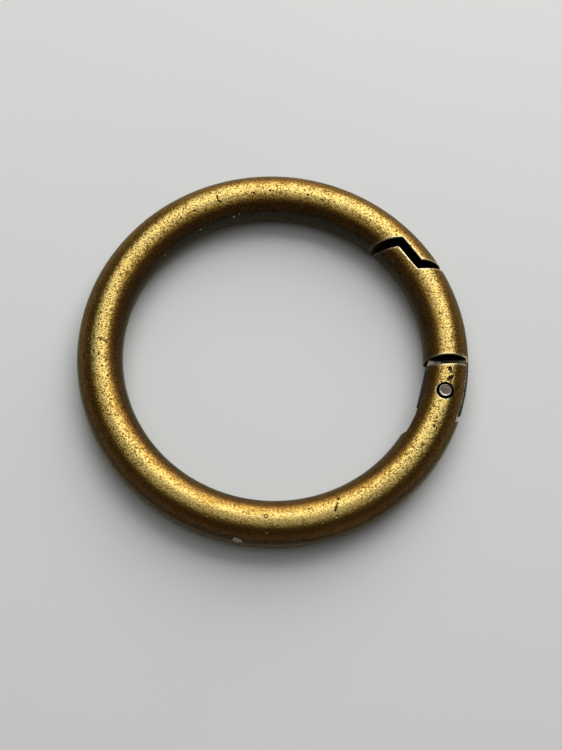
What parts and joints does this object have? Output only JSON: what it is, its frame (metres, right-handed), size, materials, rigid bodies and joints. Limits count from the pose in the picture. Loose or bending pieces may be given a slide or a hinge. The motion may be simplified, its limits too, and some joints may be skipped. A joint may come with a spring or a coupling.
{
  "type": "spring gate ring",
  "caption": "Round cast ring with a spring-loaded gate that swings inwards on a riveted pin, for joining straps, cords and other rings.",
  "frame": {"origin": "centre of the ring, in its middle plane", "axes": "+Z along the ring's axis, away from the surface that it lies on; +X points to the gate's side, just above the hinge"},
  "size_m": [0.0496, 0.0496, 0.0058],
  "materials": {
    "antique_brass": "antique brass plating on a casting: rubbed gold crown, dark brown patina in the pits and on the sides",
    "pin_steel": "dull grey riveted end with a bright rim",
    "spring_steel": "plain drawn wire"
  },
  "bodies": {
    "ring": {"ring_body": "antique_brass", "hinge_pin": "pin_steel", "closing_spring": "spring_steel"},
    "gate": {"gate": "antique_brass"}
  },
  "joints": [
    {"name": "gate_hinge", "type": "hinge", "parent": "ring", "child": "gate", "pos_m": [0.0216, -0.00392, 0], "axis": [0, 0, 1], "range_deg": [0, 40], "stiffness_Nm_per_rad": 0.02, "springref_deg": -57.3, "deforming": ["closing_spring"]}
  ]
}
